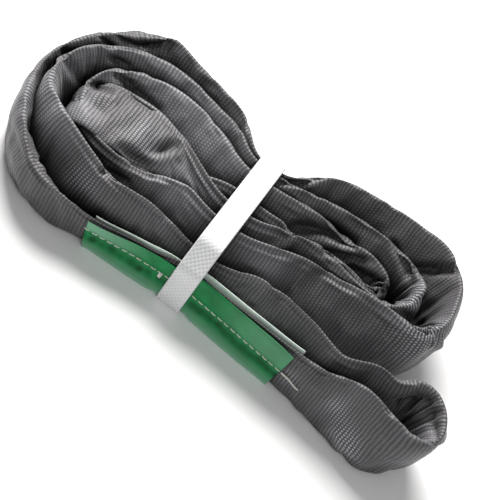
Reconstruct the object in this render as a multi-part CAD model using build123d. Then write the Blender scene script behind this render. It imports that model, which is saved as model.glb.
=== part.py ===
from build123d import *
import math
import os

# Round sling: one endless soft tube of woven polyester around a hank of load-bearing yarn, laid up on
# edge in eight passes and held at the waist by a plastic strap. A vinyl label is folded round the
# nearest pass and sewn through it.
#
# Frame, in millimetres: the origin lies on the resting plane under the middle of the strap. +X runs
# along the bundle towards the end with the small extra lobe, +Y runs away from the labelled side and
# +Z is up.

# Driving dimensions
SLEEVE_HEIGHT = 40.0
SLEEVE_THICKNESS = 9.6
SLEEVE_WALL = 1.2
SLEEVE_EDGE_RADIUS = 3.4
TUCK_WALL = 0.5
TUCK_ENDS = (-48.0, 29.0)
TUCK_CORNER = 0.2
PASS_PITCH = 11.2
PASS_COUNT = 8

WAIST_HALF_LENGTH = 16.0
WAIST_STAGGER = 4.0
WAIST_BEND = 6.0
LOBE_BEND = 16.0

STRAP_WIDTH = 13.5
STRAP_THICKNESS = 0.6
STRAP_LAP_START = -18.0
STRAP_LAP_LENGTH = 42.0
STRAP_CORNER = 2.5
STRAP_NEAR_GAP = 0.5
STRAP_SLIDE = 3.0
SHOULDER_Y = -31.0
SHOULDER_RISE = 1.5

LABEL_THICKNESS = 0.6
LABEL_LEFT_END = -55.0
LABEL_RIGHT_END = 66.0
LABEL_TOP = 27.0
LABEL_LEAF_TOP = 30.0
LABEL_CORNER = 1.0
FLAP_HINGE_HEIGHT = 17.0
FLAP_SPLIT = 23.0

THREAD_DIAMETER = 0.5
STITCH_LENGTH = 3.0
STITCH_PITCH = 4.0
STITCH_DROP = 1.0
STITCH_GAP = 0.05
BACKTACK_X = -12.2
BACKTACK_HEIGHT = 14.4
BACKTACK_RADIUS = 0.9
BACKTACK_SHAPE = (1.2, 1.0, 0.5)
TAIL_LENGTH = 11.0
TAIL_SPLAY = -6.0
TAIL_START = 0.5

CORE_TURNS = 6
CORE_TURN_RADIUS = 1.7
CORE_TURN_PITCH = 3.55
CORE_FIRST_HEIGHT = 5.9
TAPE_WALL = 0.4
TAPE_ENDS = (31.0, 49.0)
TAPE_CORNER_TRIM = 0.2

CLEARANCE = 0.12
REST_NOTCH = 1.9
NOTCH_MARGIN = 1.0

# Worked-out sizes
HALF_THICKNESS = SLEEVE_THICKNESS / 2
INNER_HALF = HALF_THICKNESS - SLEEVE_WALL
LABEL_FACE = HALF_THICKNESS + CLEARANCE
LABEL_OUTER_FACE = LABEL_FACE + LABEL_THICKNESS
STACK_HALF_DEPTH = (PASS_COUNT - 1) / 2 * PASS_PITCH + HALF_THICKNESS
DIP_HEIGHT = LABEL_TOP + 0.4
DIP_LEFT_RAMP = (-88.0, -64.0)
DIP_RIGHT_RAMP = (74.0, 96.0)
FAR_AWAY = 200.0
BELOW = 1.0
STRAIGHT_ANGLE_TOLERANCE = 1e-4
JOIN_TOLERANCE = 1e-3
PASS_GAP_MIDDLE = -(PASS_COUNT / 2 - 1) * PASS_PITCH


# Plan of the ground that the labelled pass alone stands on. Its far side runs along the middle of
# the gap to the second pass.
FIRST_PASS_PLAN = [
    (-92, -75), (100, -75), (100, -46), (66, -39.2), (16, PASS_GAP_MIDDLE),
    (-16, PASS_GAP_MIDDLE), (-55, -37.4), (-92, -38.5),
]


def pass_offset(number):
    """Distance of a pass from the middle of the waist, counted from the labelled side."""
    return (number - (PASS_COUNT + 1) / 2) * PASS_PITCH


def waist_half_length(number):
    """The outer passes leave the waist first, the inner ones a little later."""
    return WAIST_HALF_LENGTH + WAIST_STAGGER * min(number - 1, PASS_COUNT - number)


# Corner points of the lobes, in the order the cloth runs. Each lobe leaves the waist on the first
# numbered pass, turns back and comes in again on the second.
LOBES = [
    (1, 8, -1, [(-72, -45), (-92, -51), (-111, -38), (-121, -8), (-120, 28),
                (-106, 56), (-78, 67), (-46, 64), (-32, 56)]),
    (8, 3, 1, [(32, 56), (48, 64), (70, 67), (96, 67), (114, 52), (119, 28),
               (110, 5), (84, 0.5), (58, -1), (42, -11)]),
    (3, 6, -1, [(-44, -20), (-68, -20.5), (-88, -9), (-97, 10), (-88, 27), (-66, 32), (-40, 29)]),
    (6, 5, 1, [(36, 29), (58, 41), (83, 42.5), (83, 27), (60, 25), (40, 15)]),
    (5, 4, -1, [(-44, 11), (-62, 16.5), (-78, 17.5), (-79, 2), (-58, -5)]),
    (4, 7, 1, [(42, 3), (62, 12.5), (90, 15), (102, 34), (92, 53), (62, 54), (36, 43.5)]),
    (7, 2, -1, [(-34, 42), (-62, 48.5), (-92, 45), (-109, 16), (-103, -16), (-80, -32), (-52, -31.5)]),
    (2, 1, 1, [(50, -30), (86, -36.5), (112, -38), (120, -22), (136, -20),
               (146, -38), (134, -56), (104, -56), (82, -47.5)]),
]


def loop_corners():
    """Corner points of the whole closed centre line, with the bend's reach where it is fixed."""
    corners = []
    for leaving, arriving, side, lobe in LOBES:
        corners.append((side * waist_half_length(leaving), pass_offset(leaving), WAIST_BEND))
        corners.extend((x, y, None) for x, y in lobe)
        corners.append((side * waist_half_length(arriving), pass_offset(arriving), WAIST_BEND))
    return corners


def bend_edge(before, corner, after, room):
    """Arc that rounds one corner, or None where the line runs straight on."""
    here = Vector(corner[0], corner[1])
    back = Vector(before[0], before[1]) - here
    ahead = Vector(after[0], after[1]) - here
    reach = room or min(LOBE_BEND, back.length / 2, ahead.length / 2)
    start = here + back.normalized() * reach
    end = here + ahead.normalized() * reach
    opening = math.radians(back.get_angle(ahead))
    if math.pi - opening < STRAIGHT_ANGLE_TOLERANCE:
        return start, end, None
    radius = reach * math.tan(opening / 2)
    bisector = (back.normalized() + ahead.normalized()).normalized()
    middle = here + bisector * (radius / math.sin(opening / 2) - radius)
    return start, end, Edge.make_three_point_arc(start, middle, end)


def rounded_wire(corners, closed, height=0.0):
    """Wire through the corner points with every inner corner rounded by an arc."""
    count = len(corners)
    bent = range(count) if closed else range(1, count - 1)
    pieces = [bend_edge(corners[i - 1], corners[i], corners[(i + 1) % count], corners[i][2]) for i in bent]
    edges = []
    last = pieces[-1][1] if closed else Vector(corners[0][0], corners[0][1])
    for start, end, arc in pieces:
        if (start - last).length > JOIN_TOLERANCE:
            edges.append(Edge.make_line(last, start))
        if arc is not None:
            edges.append(arc)
        last = end
    if not closed:
        edges.append(Edge.make_line(last, Vector(corners[-1][0], corners[-1][1])))
    return Wire(edges).moved(Location((0, 0, height)))


def section_plane(path):
    """Plane across the start of a path, its x towards the far side and its y up."""
    tangent = path.tangent_at(0)
    return Plane(origin=path.position_at(0), x_dir=tangent.cross(Vector(0, 0, -1)), z_dir=tangent)


def swept(path, section):
    """Solid made by carrying a section, drawn at the start of the path, along it."""
    return sweep(section_plane(path) * section, path=path)


def tube_section(half_width, low, high, radius):
    """Rounded rectangle that stands on edge between two heights."""
    outline = RectangleRounded(2 * half_width, high - low, radius)
    return Pos(0, (low + high) / 2) * outline


def strip_section(near, far, low, high):
    """Rectangle across a pass, between two distances from its middle and two heights."""
    return Pos((near + far) / 2, (low + high) / 2) * Rectangle(far - near, high - low)


def box_between(low, high):
    """Box from its lowest corner to its highest."""
    return Pos(*low) * Box(*(b - a for a, b in zip(low, high)), align=(Align.MIN, Align.MIN, Align.MIN))


LOOP = loop_corners()
FIRST_PASS = [
    LOBES[0][3][0],
    (-waist_half_length(1), pass_offset(1)),
    (waist_half_length(1), pass_offset(1)),
    LOBES[-1][3][-1],
]


def first_pass_point(x):
    """Point of the labelled pass's corner-to-corner line at a place along the bundle."""
    for (x0, y0), (x1, y1) in zip(FIRST_PASS, FIRST_PASS[1:]):
        if x0 <= x <= x1:
            return x, y0 + (y1 - y0) * (x - x0) / (x1 - x0), None
    raise ValueError("outside the labelled pass")


def along_first_pass(start, end):
    """Open centre line of the labelled pass between two places along the bundle."""
    bends = [(x, y, WAIST_BEND) for x, y in FIRST_PASS[1:-1] if start < x - WAIST_BEND and x + WAIST_BEND < end]
    return rounded_wire([first_pass_point(start), *bends, first_pass_point(end)], closed=False)


def first_pass_strip(top):
    """Block over the labelled pass alone, from below the resting plane to the height given."""
    plan = make_face(Polyline(*FIRST_PASS_PLAN, close=True))
    return Pos(0, 0, -BELOW) * extrude(plan, top + BELOW)


def label_dip(depth):
    """Space above the labelled pass, where the label squeezes the sleeve low."""
    low = DIP_HEIGHT - depth
    high = SLEEVE_HEIGHT + BELOW
    left_start, left_end = DIP_LEFT_RAMP
    right_start, right_end = DIP_RIGHT_RAMP
    side = Polyline((left_start, FAR_AWAY), (left_start, high), (left_end, low), (right_start, low),
                    (right_end, high), (right_end, FAR_AWAY), close=True)
    profile = extrude(Plane.XZ * make_face(side), FAR_AWAY, both=True)
    return first_pass_strip(FAR_AWAY) & profile


def rest_notch(raise_by):
    """Shallow space under the waist for the strap and under the labelled pass for the label."""
    top = REST_NOTCH + raise_by
    strap_half = STRAP_WIDTH / 2 + STRAP_SLIDE + CLEARANCE + raise_by
    left = LABEL_LEFT_END - NOTCH_MARGIN - raise_by
    right = LABEL_RIGHT_END + NOTCH_MARGIN + raise_by
    waist = box_between((-strap_half, -FAR_AWAY, -BELOW), (strap_half, FAR_AWAY, top))
    under_label = box_between((left, -FAR_AWAY, -BELOW), (right, 0, top))
    return waist + (under_label & first_pass_strip(FAR_AWAY))


def cover_sleeve():
    """The woven cover: one endless hollow tube."""
    path = rounded_wire(LOOP, closed=True)
    inner_radius = SLEEVE_EDGE_RADIUS - SLEEVE_WALL
    outer = swept(path, tube_section(HALF_THICKNESS, 0, SLEEVE_HEIGHT, SLEEVE_EDGE_RADIUS))
    inner = swept(path, tube_section(INNER_HALF, SLEEVE_WALL, SLEEVE_HEIGHT - SLEEVE_WALL, inner_radius))
    outer = outer - label_dip(0) - rest_notch(0)
    inner = inner - label_dip(SLEEVE_WALL) - rest_notch(SLEEVE_WALL)
    return outer - inner


def cover_tucked_end():
    """The end of the cover's tube, tucked inside its other end behind the label."""
    low = REST_NOTCH + SLEEVE_WALL + CLEARANCE
    high = DIP_HEIGHT - SLEEVE_WALL - CLEARANCE
    half = INNER_HALF - CLEARANCE
    outer = tube_section(half, low, high, TUCK_WALL + TUCK_CORNER)
    inner = tube_section(half - TUCK_WALL, low + TUCK_WALL, high - TUCK_WALL, TUCK_CORNER)
    return swept(along_first_pass(*TUCK_ENDS), outer - inner)


def core_hank():
    """The load-bearing yarn: closed turns stacked one above the other inside the cover."""
    turns = []
    for row in range(CORE_TURNS):
        path = rounded_wire(LOOP, closed=True, height=CORE_FIRST_HEIGHT + row * CORE_TURN_PITCH)
        turns.append(swept(path, Circle(CORE_TURN_RADIUS)))
    return Compound(children=[turn.solid() for turn in turns])


def core_tie_tape():
    """Tape round the yarn where its first and last ends are tied in."""
    low = CORE_FIRST_HEIGHT - CORE_TURN_RADIUS - CLEARANCE
    high = CORE_FIRST_HEIGHT + (CORE_TURNS - 1) * CORE_TURN_PITCH + CORE_TURN_RADIUS + CLEARANCE
    half = CORE_TURN_RADIUS + CLEARANCE
    corner = half - TAPE_CORNER_TRIM
    inner = tube_section(half, low, high, corner)
    outer = tube_section(half + TAPE_WALL, low - TAPE_WALL, high + TAPE_WALL, corner + TAPE_WALL)
    return swept(along_first_pass(*TAPE_ENDS), outer - inner)


def label_wrap():
    """Vinyl label: its fold under the sleeve, the sewn near panel and the leaf that stands behind."""
    bottom = REST_NOTCH - CLEARANCE - LABEL_THICKNESS
    outer = tube_section(LABEL_OUTER_FACE, bottom, 2 * LABEL_LEAF_TOP, LABEL_CORNER)
    inner = tube_section(LABEL_FACE, bottom + LABEL_THICKNESS, 2 * LABEL_LEAF_TOP, LABEL_CORNER - LABEL_THICKNESS)
    leaf_side = strip_section(0, LABEL_OUTER_FACE, 0, LABEL_LEAF_TOP)
    near_side = strip_section(-LABEL_OUTER_FACE, 0, 0, FLAP_HINGE_HEIGHT)
    fold = (outer - inner) & (leaf_side + near_side)
    middle = strip_section(-LABEL_OUTER_FACE, -LABEL_FACE, FLAP_HINGE_HEIGHT - 1, LABEL_TOP)
    middle_end = FLAP_SPLIT - CLEARANCE
    wrap = swept(along_first_pass(LABEL_LEFT_END, LABEL_RIGHT_END), fold)
    return wrap + swept(along_first_pass(-middle_end, middle_end), middle)


def label_flap(start, end):
    """Free strip of the near panel above the stitching, which lifts away from the sleeve."""
    low = FLAP_HINGE_HEIGHT + CLEARANCE
    return swept(along_first_pass(start, end), strip_section(-LABEL_OUTER_FACE, -LABEL_FACE, low, LABEL_TOP))


def near_face_place(x, height, proud):
    """Plane on the label's near face, its own x along the pass and its z away from the sleeve."""
    path = along_first_pass(LABEL_LEFT_END, LABEL_RIGHT_END)
    share = (x - LABEL_LEFT_END) / (LABEL_RIGHT_END - LABEL_LEFT_END)
    along = path.tangent_at(share)
    outward = along.cross(Vector(0, 0, 1))
    origin = path.position_at(share) + outward * (LABEL_OUTER_FACE + proud) + Vector(0, 0, height)
    return Plane(origin=origin, x_dir=along, z_dir=outward)


def label_stitching():
    """One row of lockstitches through the near panel, just under the free strips."""
    stitches = []
    half = THREAD_DIAMETER / 2
    count = int((LABEL_RIGHT_END - LABEL_LEFT_END) / STITCH_PITCH)
    for number in range(count):
        x = LABEL_LEFT_END + (number + 0.5) * STITCH_PITCH
        place = near_face_place(x, FLAP_HINGE_HEIGHT - STITCH_DROP, STITCH_GAP + half / 2)
        stitches.append(place * Box(STITCH_LENGTH, THREAD_DIAMETER, half))
    return Compound(children=[stitch.solid() for stitch in stitches])


def stitch_backtack():
    """Knot of thread where the row of stitches was locked, left of the strap."""
    place = near_face_place(BACKTACK_X, BACKTACK_HEIGHT, CLEARANCE + BACKTACK_RADIUS / 2)
    return place * scale(Sphere(BACKTACK_RADIUS), by=BACKTACK_SHAPE)


def thread_tail():
    """Loose end of the sewing thread beyond the label's right end."""
    radius = THREAD_DIAMETER / 2
    place = near_face_place(LABEL_RIGHT_END - TAIL_START, FLAP_HINGE_HEIGHT - STITCH_DROP, radius + CLEARANCE)
    rod = Cylinder(radius, TAIL_LENGTH, rotation=(0, 90, 0), align=(Align.CENTER, Align.CENTER, Align.MIN))
    return place * Pos(TAIL_START + CLEARANCE) * Rot(0, TAIL_SPLAY, 0) * rod


def strap_band():
    """Plastic strap round the waist, with its ends welded one over the other underneath."""
    near = -(STACK_HALF_DEPTH + LABEL_OUTER_FACE - HALF_THICKNESS + STRAP_NEAR_GAP + STRAP_THICKNESS)
    far = STACK_HALF_DEPTH + CLEARANCE + STRAP_THICKNESS
    top = SLEEVE_HEIGHT + CLEARANCE + STRAP_THICKNESS
    outline = make_face(Polyline((near, 0), (far, 0), (far, top), (SHOULDER_Y, top),
                                 (near, LABEL_TOP + SHOULDER_RISE), close=True))
    outer = fillet(outline.vertices(), STRAP_CORNER)
    inner = offset(outer, -STRAP_THICKNESS)
    width = STRAP_WIDTH / 2
    band = extrude(Plane.YZ * (outer - inner), width, both=True)
    lap = Box(STRAP_WIDTH, STRAP_LAP_LENGTH, STRAP_THICKNESS, align=(Align.CENTER, Align.MIN, Align.MIN))
    return band + Pos(0, STRAP_LAP_START, STRAP_THICKNESS) * lap


PARTS = {
    "cover_sleeve": cover_sleeve,
    "cover_tucked_end": cover_tucked_end,
    "core_hank": core_hank,
    "core_tie_tape": core_tie_tape,
    "label_wrap": label_wrap,
    "label_flap_left": lambda: label_flap(LABEL_LEFT_END, -FLAP_SPLIT),
    "label_flap_right": lambda: label_flap(FLAP_SPLIT, LABEL_RIGHT_END),
    "label_stitching": label_stitching,
    "stitch_backtack": stitch_backtack,
    "thread_tail": thread_tail,
    "strap_band": strap_band,
}


def main():
    os.makedirs("parts", exist_ok=True)
    for name, build in PARTS.items():
        export_step(build(), os.path.join("parts", name + ".step"))


main()
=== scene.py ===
import math

import bpy
import numpy as np
from mathutils import Matrix, Vector


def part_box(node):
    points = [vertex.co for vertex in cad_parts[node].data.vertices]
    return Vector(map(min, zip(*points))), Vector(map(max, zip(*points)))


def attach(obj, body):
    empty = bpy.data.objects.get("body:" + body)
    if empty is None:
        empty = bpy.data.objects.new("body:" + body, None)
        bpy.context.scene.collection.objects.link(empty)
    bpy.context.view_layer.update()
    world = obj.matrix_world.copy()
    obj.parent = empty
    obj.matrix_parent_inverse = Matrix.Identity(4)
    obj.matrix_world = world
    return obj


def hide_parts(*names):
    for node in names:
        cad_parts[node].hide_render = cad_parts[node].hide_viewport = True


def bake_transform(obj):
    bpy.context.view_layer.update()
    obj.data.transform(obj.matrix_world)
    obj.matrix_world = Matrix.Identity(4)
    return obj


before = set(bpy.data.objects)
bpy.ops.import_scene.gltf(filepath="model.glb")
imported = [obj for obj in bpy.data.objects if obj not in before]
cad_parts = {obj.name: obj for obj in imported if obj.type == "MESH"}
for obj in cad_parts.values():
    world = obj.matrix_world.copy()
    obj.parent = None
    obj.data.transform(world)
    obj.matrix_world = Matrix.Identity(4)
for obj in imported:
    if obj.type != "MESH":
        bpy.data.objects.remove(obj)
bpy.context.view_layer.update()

MM = 0.001
SEED = 7

# ---------------------------------------------------------------------------------------------
# The cloth's course. Lengths here are millimetres in the part's own frame.
# ---------------------------------------------------------------------------------------------


def stand(base_x, base_y, crest_x, crest_y, crest_z, thick):
    """A station where the flat tube stands on edge: its foot, its crest and its thickness."""
    foot = np.array([base_x, base_y, 0.3])
    crest = np.array([crest_x, crest_y, crest_z])
    return [*((foot + crest) / 2), *((crest - foot) / 2), thick]


def stands(*rows):
    """Several standing stations, each a row of stand()'s arguments."""
    return [stand(*row) for row in rows]


def lie(x, y, z, spine, thick):
    """A station given by its middle, the half vector to one fold and its thickness."""
    return [x, y, z, *spine, thick]


# The eight passes under the strap, from the labelled side: foot y, crest y, crest z, thickness.
WAIST = {
    1: (-41.7, -41.4, 27.0, 3.6),
    2: (-34.5, -30.5, 31.0, 8.5),
    3: (-23.5, -11.5, 38.0, 9.5),
    4: (-11.5, 1.5, 38.6, 9.5),
    5: (0.5, 14.0, 36.0, 9.5),
    6: (13.0, 29.0, 38.6, 10.0),
    7: (27.0, 37.5, 38.8, 8.5),
    8: (38.3, 40.8, 38.8, 6.0),
}
WAIST_X = 10.5


def waist(number, x):
    foot_y, crest_y, crest_z, thick = WAIST[number]
    return stand(x, foot_y, x, crest_y, crest_z, thick)


def left_outer():
    """Pass 1 round the left end to pass 8."""
    return stands(
        (-18, -42.0, -18, -42.4, 23.4, 4.2), (-30, -42.5, -30, -43.6, 22.9, 4.8),
        (-52, -43.2, -52, -48.4, 22.2, 5.8), (-72, -44.8, -73, -50.5, 24.8, 8.5),
        (-90, -41.5, -92, -45.5, 27, 10), (-104, -30, -107, -31, 31, 9.5),
        (-112, -15, -116.5, -14, 33.5, 9), (-115, 2, -120.5, 4, 33, 7.5),
        (-114, 17, -119.5, 20, 34, 7.5), (-107, 30, -112.5, 34, 38, 8),
        (-99.5, 41, -104, 46, 40.5, 9), (-91, 49, -96, 55, 41, 9.5),
        (-79, 53.5, -81, 67, 42.5, 10), (-58, 50, -59, 63, 41, 9.5),
        (-38, 46, -38, 59.5, 40.5, 9), (-20, 41.5, -20, 51, 40, 8),
    )


def right_outer():
    """Pass 8 round the right end to pass 3."""
    return stands(
        (19, 40.8, 19, 46.6, 40.4, 6.2), (24, 43.5, 24, 53, 40.5, 7.8),
        (36, 46, 36, 61, 40.5, 9), (54, 48, 54, 65, 41, 9.5),
        (76, 50, 77, 67, 41, 10), (96, 49, 99, 66, 41.5, 10),
        (107, 41, 112, 52, 41, 11), (112, 27, 116, 33, 40.5, 12),
        (110, 12, 116, 18, 40, 12), (103, -3, 109, 8.5, 39.5, 12),
        (88, -11, 90, 6, 39, 11.5), (66, -12, 66, 4.5, 39, 11),
        (46, -14, 46, 1, 39, 10.5), (26, -19, 26, -6, 38.8, 10),
    )


def left_third():
    """Pass 3 round the left end to pass 6."""
    return stands(
        (-24, -23, -24, -8.5, 38.5, 10), (-42, -22.5, -42, -11, 38, 10),
        (-58, -23, -58, -17.5, 37, 9.5), (-74, -20, -74, -18, 36.5, 9),
        (-86, -11, -87, -11, 35.5, 9), (-92, 3, -95.5, 4, 35.5, 9),
        (-90, 18, -95.5, 21, 38, 9), (-79, 27, -84, 35, 40.5, 10),
        (-64, 27, -67, 41, 40.5, 10), (-46, 24, -47, 40, 40.5, 10),
        (-26, 18, -26, 35, 39.5, 10),
    )


def right_inner():
    """Pass 6 round the right hairpin to pass 5."""
    return stands(
        (28, 20, 28, 32, 38.5, 9.5), (48, 26, 48, 34, 37, 9),
        (68, 29, 69, 34, 35, 8.5), (80, 27, 83, 28, 33, 8),
        (77, 19, 79, 19, 31, 8), (62, 15.5, 62, 19, 33, 8.5),
        (44, 10, 44, 18, 35, 9), (26, 4, 26, 15, 36.5, 9.5),
    )


def left_inner():
    """Pass 5 under and up round the folded-over left hairpin, back on top to pass 4."""
    return [
        stand(-30, 3.5, -30, 12, 30, 9),
        lie(-50, 8, 14, (0, 7, 11), 8),
        lie(-70, 7, 11.5, (0, 14, 5), 7),
        lie(-86, 5, 12, (0, 17, 1), 7),
        lie(-95, 4, 22, (-1, 17.5, 0), 7),
        lie(-88, 3, 34.5, (0, 18.5, 0), 7),
        lie(-74, 2.5, 37, (0, 19, 1), 7.5),
        lie(-58, 3, 36.5, (0, 17, 4), 8.5),
        lie(-44, 4, 33.5, (0, 12, 8), 9),
        lie(-30, 1, 27, (0, 8.5, 13), 9),
    ]


def right_third():
    """Pass 4 round the right end to pass 7."""
    return stands(
        (28, -4.5, 28, 9, 39.8, 9.5), (46, 1.5, 46, 12, 39, 9.5),
        (66, 4, 67, 11, 37, 9.5), (84, 9, 88, 12, 37, 9.5),
        (94, 20, 98, 22, 37.5, 9.5), (92, 35, 96, 37, 38.5, 9.5),
        (78, 38.5, 80, 44, 39.5, 9.5), (58, 36.5, 58, 45, 39.8, 9.5),
        (38, 32, 38, 42, 39.8, 9), (22, 28.5, 22, 39, 39.6, 8.5),
    )


def left_second():
    """Pass 7 round the left end to pass 2."""
    return stands(
        (-22, 32, -22, 45, 40, 8.5), (-40, 36, -40, 48.5, 40.5, 9),
        (-60, 39, -61, 52, 41, 9.5), (-80, 38, -85, 49, 41, 10),
        (-91, 31, -98, 37, 41.5, 9.5), (-99, 18, -108.5, 25, 42, 9),
        (-101, 6, -113.5, 9, 42, 9.5), (-101.5, -6, -113, -5, 41, 10),
        (-100, -18, -105, -13, 40, 11), (-92, -31, -90, -20, 39, 12),
        (-76, -38, -72, -28, 38.5, 12), (-56, -38, -55, -32.5, 37.5, 11),
        (-36, -36, -36, -31, 36.5, 10), (-20, -35, -20, -30.5, 34, 9),
    )


def right_small():
    """Pass 2 round the small extra lobe to pass 1."""
    return stands(
        (26, -33, 26, -28, 35, 9), (44, -32.5, 44, -27.5, 36.5, 9.5),
        (64, -36, 64, -31.5, 36.5, 9.5), (84, -40, 84, -35.5, 37, 9.5),
        (101, -37.5, 102, -28, 38, 9.5), (112, -33, 113, -28, 37, 9.5),
        (120, -27, 122, -20.5, 40, 10), (129, -27, 133, -21, 40, 10),
        (133, -34, 141, -31, 40, 10), (134, -44, 144, -43, 38.5, 10),
        (129, -53, 136, -53.5, 37, 10), (120, -57, 120, -51.5, 38, 10.5),
        (102, -53, 101, -47, 38, 10.5), (84, -48, 84, -47, 33, 9.5),
        (64, -45.2, 64, -45, 29, 7), (40, -43.8, 40, -43.4, 28, 5.8),
        (22, -42.6, 22, -42.2, 27, 4.6),
    )


def loop_stations():
    """Every station of the closed loop, in the order the cloth runs."""
    course = [
        (1, -1, left_outer, 8), (8, 1, right_outer, 3), (3, -1, left_third, 6), (6, 1, right_inner, 5),
        (5, -1, left_inner, 4), (4, 1, right_third, 7), (7, -1, left_second, 2), (2, 1, right_small, 1),
    ]
    stations = []
    for leaving, side, lobe, arriving in course:
        stations.append(waist(leaving, side * WAIST_X))
        stations.extend(lobe())
        stations.append(waist(arriving, side * WAIST_X))
    return np.array(stations, float)


def closed_spline(points, per_span):
    """Centripetal Catmull-Rom curve through the points, closed on itself."""
    before, here, after, beyond = (np.roll(points, shift, 0) for shift in (1, 0, -1, -2))

    def knot(a, b):
        return np.maximum(np.linalg.norm((b - a)[:, :3], axis=1), 1e-6) ** 0.5

    t0 = np.zeros(len(points))
    t1 = t0 + knot(before, here)
    t2 = t1 + knot(here, after)
    t3 = t2 + knot(after, beyond)
    rows = []
    for share in np.linspace(0, 1, per_span, endpoint=False):
        t = t1 + (t2 - t1) * share

        def mix(a, b, ta, tb):
            weight = ((t - ta) / (tb - ta))[:, None]
            return a * (1 - weight) + b * weight

        a1, a2, a3 = mix(before, here, t0, t1), mix(here, after, t1, t2), mix(after, beyond, t2, t3)
        b1, b2 = mix(a1, a2, t0, t2), mix(a2, a3, t1, t3)
        rows.append(mix(b1, b2, t1, t2))
    return np.stack(rows, 1).reshape(-1, points.shape[1])


def evenly(curve, count):
    """The closed curve resampled at even steps of its middle line."""
    closed = np.vstack([curve, curve[:1]])
    steps = np.linalg.norm(np.diff(closed[:, :3], axis=0), axis=1)
    reach = np.concatenate([[0], np.cumsum(steps)])
    places = np.linspace(0, reach[-1], count, endpoint=False)
    return np.stack([np.interp(places, reach, closed[:, k]) for k in range(curve.shape[1])], 1), reach[-1]


def smooth_round(values, sigma):
    """Gaussian smoothing of rows that run round a closed loop, sigma in rows."""
    reach = int(3 * sigma) + 1
    weights = np.exp(-0.5 * (np.arange(-reach, reach + 1) / sigma) ** 2)
    weights /= weights.sum()
    return sum(w * np.roll(values, k, 0) for w, k in zip(weights, range(-reach, reach + 1)))


def unit(vectors):
    return vectors / np.maximum(np.linalg.norm(vectors, axis=-1, keepdims=True), 1e-9)


def ease(values, low, high):
    """Smooth step from 0 at low to 1 at high."""
    share = np.clip((values - low) / (high - low), 0, 1)
    return share * share * (3 - 2 * share)


class Course:
    """The loop's middle line with its spine, sideways direction and thickness at even steps."""

    def __init__(self, count):
        curve = closed_spline(loop_stations(), 24)
        rows, self.length = evenly(curve, count)
        rows = smooth_round(rows, 4.0 * count / self.length)
        self.middle, self.spine, self.thick = rows[:, :3], rows[:, 3:6], rows[:, 6]
        self.along = unit(np.roll(self.middle, -1, 0) - np.roll(self.middle, 1, 0))
        self.side = unit(np.cross(self.along, self.spine))
        self.place = np.arange(count) * self.length / count
        step = self.length / count
        turn = (np.roll(self.along, -1, 0) - np.roll(self.along, 1, 0)) / (2 * step)
        self.bend = smooth_round((turn * self.side).sum(1), 3.0 / step)


COURSE_COUNT = 1800
ROUND_COUNT = 80
course = Course(COURSE_COUNT)

# ---------------------------------------------------------------------------------------------
# Meshes
# ---------------------------------------------------------------------------------------------


def add_piece(name, points, faces):
    """New smooth object in the scene, from points in millimetres."""
    mesh = bpy.data.meshes.new(name)
    mesh.from_pydata((np.reshape(points, (-1, 3)) * MM).tolist(), [], faces)
    mesh.polygons.foreach_set("use_smooth", np.ones(len(mesh.polygons), bool))
    mesh.update()
    piece = bpy.data.objects.new(name, mesh)
    bpy.context.scene.collection.objects.link(piece)
    return piece


def quads(rows, cols, close_rows, close_cols):
    """Faces of a grid of points, closed on itself along its rows or columns where asked."""
    faces = []
    for i in range(rows if close_rows else rows - 1):
        here, ahead = i * cols, (i + 1) % rows * cols
        for k in range(cols if close_cols else cols - 1):
            m = (k + 1) % cols
            faces.append((here + k, here + m, ahead + m, ahead + k))
    return faces


def tube_mesh(name, grid, place, arc, round_length):
    """Closed quad tube with a UV map in millimetres along and round the cloth."""
    rows, cols = grid.shape[:2]
    first = np.arange(rows)[:, None] * cols + np.arange(cols)[None]
    ahead, beside = np.roll(first, -1, 0), np.roll(first, -1, 1)
    faces = np.stack([first, ahead, np.roll(ahead, -1, 1), beside], -1).reshape(-1, 4)
    piece = add_piece(name, grid, faces.tolist())
    step = place[1] - place[0]
    along = np.broadcast_to(place[:, None], (rows, cols))
    low = np.broadcast_to(arc[None], (rows, cols))
    high = np.broadcast_to(np.append(arc[1:], round_length)[None], (rows, cols))
    corners = ((along, low), (along + step, low), (along + step, high), (along, high))
    uv = np.stack([np.stack(corner, -1) for corner in corners], 2)
    piece.data.uv_layers.new(name="cloth").data.foreach_set("uv", uv.ravel())
    return piece


ROUND_SIDES = 8


def round_tube(name, centres, radius, closed):
    """Round tube along a line of points, capped when it is open, of one radius or one at each point."""
    forward = np.roll(centres, -1, 0) - np.roll(centres, 1, 0)
    if not closed:
        forward[0] = centres[1] - centres[0]
        forward[-1] = centres[-1] - centres[-2]
    forward = unit(forward)
    side = unit(np.cross(forward, np.array([0.0, 0.0, 1.0])) + 1e-6)
    lift = np.cross(side, forward)
    angle = np.linspace(0, 2 * math.pi, ROUND_SIDES, endpoint=False)
    ring = side[:, None] * np.cos(angle)[None, :, None] + lift[:, None] * np.sin(angle)[None, :, None]
    wide = np.broadcast_to(np.asarray(radius, float), (len(centres),))
    faces = quads(len(centres), ROUND_SIDES, closed, True)
    if not closed:
        faces.append(tuple(range(ROUND_SIDES))[::-1])
        faces.append(tuple((len(centres) - 1) * ROUND_SIDES + k for k in range(ROUND_SIDES)))
    return add_piece(name, centres[:, None] + ring * wide[:, None, None], faces)


def sheet(name, rows_of_points, skin, material):
    """Thin closed sheet through a grid of points, with real thickness."""
    grid = np.array(rows_of_points)
    piece = add_piece(name, grid, quads(*grid.shape[:2], False, False))
    piece.data.materials.append(material)
    solid = piece.modifiers.new("skin", "SOLIDIFY")
    solid.thickness = skin * MM
    solid.offset = 0.0
    apply_modifiers(piece)
    return piece


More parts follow.
